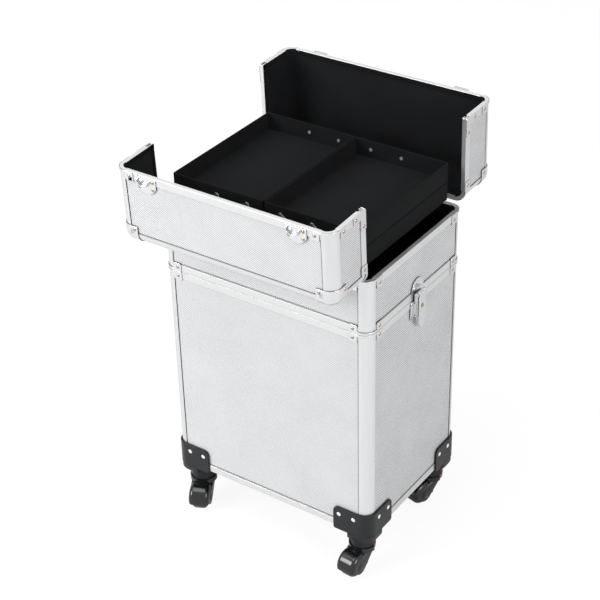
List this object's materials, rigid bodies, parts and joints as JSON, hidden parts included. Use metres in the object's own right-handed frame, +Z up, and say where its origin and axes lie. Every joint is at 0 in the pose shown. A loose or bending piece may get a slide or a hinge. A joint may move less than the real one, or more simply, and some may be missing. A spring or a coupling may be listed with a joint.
{
  "type": "rolling makeup case",
  "caption": "Tall silver makeup trolley case on swivel casters, with a lift-off top box, a two-part lid and cantilever trays on parallel arms.",
  "frame": {"origin": "on the floor under the middle of the case", "axes": "+Z up from the floor, +X to the right along the wide face, +Y from the front to the back"},
  "size_m": [0.3809, 0.4211, 0.6379],
  "materials": {
    "panel": "fine pressed texture",
    "frame": "satin",
    "chrome": "polished",
    "steel": "satin",
    "rivet": "polished",
    "lining": "matte",
    "moulding": "satin gloss",
    "ring": "satin gloss",
    "tread": "satin"
  },
  "bodies": {
    "trunk": {"trunk_panels": "panel", "trunk_floor": "lining", "trunk_posts": "frame", "trunk_bands": "frame", "trunk_clips": "chrome", "trunk_rivets": "rivet", "corner_guards": "moulding", "swivel_rings": "ring", "key_latch_bases": "chrome", "handle_sleeves": "steel", "handle_brackets": "moulding"},
    "box": {"box_panels": "panel", "box_floor": "lining", "box_posts": "frame", "box_bands": "frame", "box_clips": "chrome", "box_rivets": "rivet", "key_strikes": "chrome", "box_hinges": "steel"},
    "front_lid": {"front_lid_panels": "panel", "front_lid_rails": "frame", "front_lid_bands": "frame", "front_lid_clips": "chrome", "front_lid_rivets": "rivet", "front_lid_hinge": "steel", "lid_strikes": "chrome"},
    "back_lid": {"back_lid_panels": "panel", "back_lid_rails": "frame", "back_lid_bands": "frame", "back_lid_clips": "chrome", "back_lid_rivets": "rivet", "back_lid_hinge": "steel", "lid_latch_bases": "chrome"},
    "handle_middle": {"handle_mid": "steel"},
    "handle_top": {"handle_rods": "steel", "handle_grip": "moulding"},
    "lid_lever_left": {"lid_lever_left": "chrome"},
    "lid_lever_right": {"lid_lever_right": "chrome"},
    "key_lever_left": {"key_lever_left": "chrome"},
    "key_lever_right": {"key_lever_right": "chrome"},
    "lower_left_tray": {"lower_left_tray": "lining"},
    "lower_right_tray": {"lower_right_tray": "lining"},
    "upper_left_tray": {"upper_left_tray": "lining"},
    "upper_right_tray": {"upper_right_tray": "lining"},
    "lower_left_arm_in": {"lower_left_arm_in": "steel"},
    "lower_left_arm_out": {"lower_left_arm_out": "steel"},
    "lower_right_arm_in": {"lower_right_arm_in": "steel"},
    "lower_right_arm_out": {"lower_right_arm_out": "steel"},
    "upper_left_arm_in": {"upper_left_arm_in": "steel"},
    "upper_left_arm_out": {"upper_left_arm_out": "steel"},
    "upper_right_arm_in": {"upper_right_arm_in": "steel"},
    "upper_right_arm_out": {"upper_right_arm_out": "steel"},
    "caster_fl": {"caster_fl": "moulding"},
    "caster_fr": {"caster_fr": "moulding"},
    "caster_bl": {"caster_bl": "moulding"},
    "caster_br": {"caster_br": "moulding"},
    "wheel_fl": {"wheel_fl": "tread"},
    "wheel_fr": {"wheel_fr": "tread"},
    "wheel_bl": {"wheel_bl": "tread"},
    "wheel_br": {"wheel_br": "tread"}
  },
  "joints": [
    {"name": "box_lift", "type": "slide", "parent": "trunk", "child": "box", "axis": [0, 0, 1], "range_m": [0, 0.085]},
    {"name": "front_lid_hinge_joint", "type": "hinge", "parent": "box", "child": "front_lid", "pos_m": [0, -0.1255, 0.5026], "axis": [1, 0, 0], "range_deg": [-92.7, 0]},
    {"name": "back_lid_hinge_joint", "type": "hinge", "parent": "box", "child": "back_lid", "pos_m": [0, 0.1255, 0.5026], "axis": [-1, 0, 0], "range_deg": [-88.2, 0]},
    {"name": "lid_latch_left", "type": "hinge", "parent": "back_lid", "child": "lid_lever_left", "pos_m": [-0.1175, 0.2033, 0.6121], "axis": [-1, 0, 0], "range_deg": [-175, 0]},
    {"name": "lid_latch_right", "type": "hinge", "parent": "back_lid", "child": "lid_lever_right", "pos_m": [0.1175, 0.2033, 0.6121], "axis": [-1, 0, 0], "range_deg": [-175, 0]},
    {"name": "key_latch_left", "type": "hinge", "parent": "trunk", "child": "key_lever_left", "pos_m": [-0.1762, 0, 0.429], "axis": [0, 1, 0], "range_deg": [0, 110]},
    {"name": "key_latch_right", "type": "hinge", "parent": "trunk", "child": "key_lever_right", "pos_m": [0.1762, 0, 0.429], "axis": [0, -1, 0], "range_deg": [0, 110]},
    {"name": "lower_left_swing", "type": "hinge", "parent": "box", "child": "lower_left_arm_in", "pos_m": [-0.067, 0, 0.4894], "axis": [0, -1, 0], "range_deg": [0, 106.2]},
    {"name": "lower_left_follower", "type": "hinge", "parent": "box", "child": "lower_left_arm_out", "pos_m": [-0.117, 0, 0.4894], "axis": [0, -1, 0], "range_deg": [0, 106.2]},
    {"name": "lower_left_level", "type": "hinge", "parent": "lower_left_arm_in", "child": "lower_left_tray", "pos_m": [-0.027, 0, 0.5194], "axis": [0, -1, 0], "range_deg": [-106.2, 0]},
    {"name": "upper_left_swing", "type": "hinge", "parent": "lower_left_tray", "child": "upper_left_arm_in", "pos_m": [-0.067, 0, 0.5304], "axis": [0, -1, 0], "range_deg": [0, 113.9]},
    {"name": "upper_left_follower", "type": "hinge", "parent": "lower_left_tray", "child": "upper_left_arm_out", "pos_m": [-0.117, 0, 0.5304], "axis": [0, -1, 0], "range_deg": [0, 113.9]},
    {"name": "upper_left_level", "type": "hinge", "parent": "upper_left_arm_in", "child": "upper_left_tray", "pos_m": [-0.027, 0, 0.5564], "axis": [0, -1, 0], "range_deg": [-113.9, 0]},
    {"name": "lower_right_swing", "type": "hinge", "parent": "box", "child": "lower_right_arm_in", "pos_m": [0.067, 0, 0.4894], "axis": [0, 1, 0], "range_deg": [0, 106.2]},
    {"name": "lower_right_follower", "type": "hinge", "parent": "box", "child": "lower_right_arm_out", "pos_m": [0.117, 0, 0.4894], "axis": [0, 1, 0], "range_deg": [0, 106.2]},
    {"name": "lower_right_level", "type": "hinge", "parent": "lower_right_arm_in", "child": "lower_right_tray", "pos_m": [0.027, 0, 0.5194], "axis": [0, 1, 0], "range_deg": [-106.2, 0]},
    {"name": "upper_right_swing", "type": "hinge", "parent": "lower_right_tray", "child": "upper_right_arm_in", "pos_m": [0.067, 0, 0.5304], "axis": [0, 1, 0], "range_deg": [0, 113.9]},
    {"name": "upper_right_follower", "type": "hinge", "parent": "lower_right_tray", "child": "upper_right_arm_out", "pos_m": [0.117, 0, 0.5304], "axis": [0, 1, 0], "range_deg": [0, 113.9]},
    {"name": "upper_right_level", "type": "hinge", "parent": "upper_right_arm_in", "child": "upper_right_tray", "pos_m": [0.027, 0, 0.5564], "axis": [0, 1, 0], "range_deg": [-113.9, 0]},
    {"name": "swivel_fl", "type": "hinge", "parent": "trunk", "child": "caster_fl", "pos_m": [-0.145, -0.0965, 0.044], "axis": [0, 0, 1], "continuous": true},
    {"name": "roll_fl", "type": "hinge", "parent": "caster_fl", "child": "wheel_fl", "pos_m": [-0.13463, -0.11979, 0.019], "axis": [0.9135, 0.4067, 0], "continuous": true},
    {"name": "swivel_fr", "type": "hinge", "parent": "trunk", "child": "caster_fr", "pos_m": [0.145, -0.0965, 0.044], "axis": [0, 0, 1], "continuous": true},
    {"name": "roll_fr", "type": "hinge", "parent": "caster_fr", "child": "wheel_fr", "pos_m": [0.14322, -0.12194, 0.019], "axis": [0.9976, -0.0698, 0], "continuous": true},
    {"name": "swivel_bl", "type": "hinge", "parent": "trunk", "child": "caster_bl", "pos_m": [-0.145, 0.0965, 0.044], "axis": [0, 0, 1], "continuous": true},
    {"name": "roll_bl", "type": "hinge", "parent": "caster_bl", "child": "wheel_bl", "pos_m": [-0.14057, 0.07139, 0.019], "axis": [0.9848, 0.1736, 0], "continuous": true},
    {"name": "swivel_br", "type": "hinge", "parent": "trunk", "child": "caster_br", "pos_m": [0.145, 0.0965, 0.044], "axis": [0, 0, 1], "continuous": true},
    {"name": "roll_br", "type": "hinge", "parent": "caster_br", "child": "wheel_br", "pos_m": [0.1384, 0.07187, 0.019], "axis": [0.9659, -0.2588, 0], "continuous": true},
    {"name": "handle_stage_one", "type": "slide", "parent": "trunk", "child": "handle_middle", "axis": [0, 0, -1], "range_m": [-0.21, 0]},
    {"name": "handle_stage_two", "type": "slide", "parent": "handle_middle", "child": "handle_top", "axis": [0, 0, -1], "range_m": [-0.21, 0]}
  ],
  "couplings": [
    {"joint": "lower_left_follower", "follows": "lower_left_swing", "ratio": 1},
    {"joint": "lower_left_level", "follows": "lower_left_swing", "ratio": -1},
    {"joint": "upper_left_follower", "follows": "upper_left_swing", "ratio": 1},
    {"joint": "upper_left_level", "follows": "upper_left_swing", "ratio": -1},
    {"joint": "lower_right_follower", "follows": "lower_right_swing", "ratio": 1},
    {"joint": "lower_right_level", "follows": "lower_right_swing", "ratio": -1},
    {"joint": "upper_right_follower", "follows": "upper_right_swing", "ratio": 1},
    {"joint": "upper_right_level", "follows": "upper_right_swing", "ratio": -1}
  ]
}
